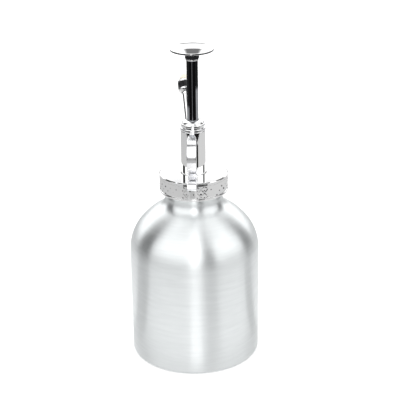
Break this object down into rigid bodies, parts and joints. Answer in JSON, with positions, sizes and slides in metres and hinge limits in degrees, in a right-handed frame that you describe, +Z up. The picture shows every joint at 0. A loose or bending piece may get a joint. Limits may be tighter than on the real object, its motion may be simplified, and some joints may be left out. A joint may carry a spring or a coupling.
{
  "type": "pump sprayer",
  "caption": "Plunger mister: domed metal bottle, knurled screw collar, piston pump with a thumb disc on a slender rod, a finger hook and an inclined spout with a turning nozzle.",
  "frame": {"origin": "centre of the foot, in the plane that it stands on", "axes": "+Z up along the bottle and the rod; -Y towards the finger hook; +Y towards the spout"},
  "size_m": [0.075, 0.075, 0.1841],
  "materials": {
    "spun_aluminium": "spun, fine rings around the axis",
    "chrome_plate": "polished plate",
    "dark_chrome": "dark polished plate",
    "black_plastic": "gloss",
    "pale_brass": "turned, pale",
    "black_rubber": "matt",
    "white_plastic": "moulded",
    "clear_plastic": "translucent, extruded",
    "stainless": "drawn"
  },
  "bodies": {
    "vessel": {"bottle_shell": "spun_aluminium"},
    "pump": {"neck_gasket": "black_rubber", "slip_washer": "white_plastic", "pump_barrel": "chrome_plate", "pump_cylinder": "stainless", "gland_nut": "chrome_plate", "rod_bush": "white_plastic", "rod_packing": "black_rubber", "finger_hook": "chrome_plate", "foot_valve_body": "white_plastic", "inlet_ball_cage": "white_plastic", "dip_tube": "clear_plastic", "strainer": "white_plastic", "spout_nut": "chrome_plate", "spout_tube": "chrome_plate", "nozzle_body": "chrome_plate", "nozzle_o_ring": "black_rubber", "swirl_core": "pale_brass", "return_spring": "stainless"},
    "collar": {"collar_shell": "chrome_plate", "collar_liner": "white_plastic"},
    "plunger": {"thumb_disc": "chrome_plate", "button_hub": "black_plastic", "stem_washer": "chrome_plate", "plunger_rod": "dark_chrome", "piston": "pale_brass", "piston_seal": "black_rubber", "piston_screw": "stainless"},
    "inlet_check": {"inlet_ball": "stainless"},
    "outlet_check": {"outlet_ball": "stainless"},
    "nozzle": {"nozzle_cap": "black_plastic", "nozzle_tip": "pale_brass"}
  },
  "joints": [
    {"name": "head_lift", "type": "slide", "parent": "vessel", "child": "pump", "axis": [0, 0, 1], "range_m": [0, 0.115]},
    {"name": "collar_turn", "type": "hinge", "parent": "pump", "child": "collar", "pos_m": [0, 0, 0.11], "axis": [0, 0, 1], "continuous": true},
    {"name": "plunger_press", "type": "slide", "parent": "pump", "child": "plunger", "axis": [0, 0, -1], "range_m": [0, 0.03], "stiffness_N_per_m": 400, "springref_m": -0.008, "deforming": ["return_spring"]},
    {"name": "inlet_ball_lift", "type": "slide", "parent": "pump", "child": "inlet_check", "axis": [0, 0, 1], "range_m": [0, 0.0014]},
    {"name": "outlet_ball_lift", "type": "slide", "parent": "pump", "child": "outlet_check", "axis": [-0.0895, 0.6365, 0.766], "range_m": [0, 0.0046]},
    {"name": "nozzle_turn", "type": "hinge", "parent": "pump", "child": "nozzle", "pos_m": [-0.00447, 0.03183, 0.152], "axis": [-0.0895, 0.6365, 0.766], "range_deg": [0, 360]}
  ]
}
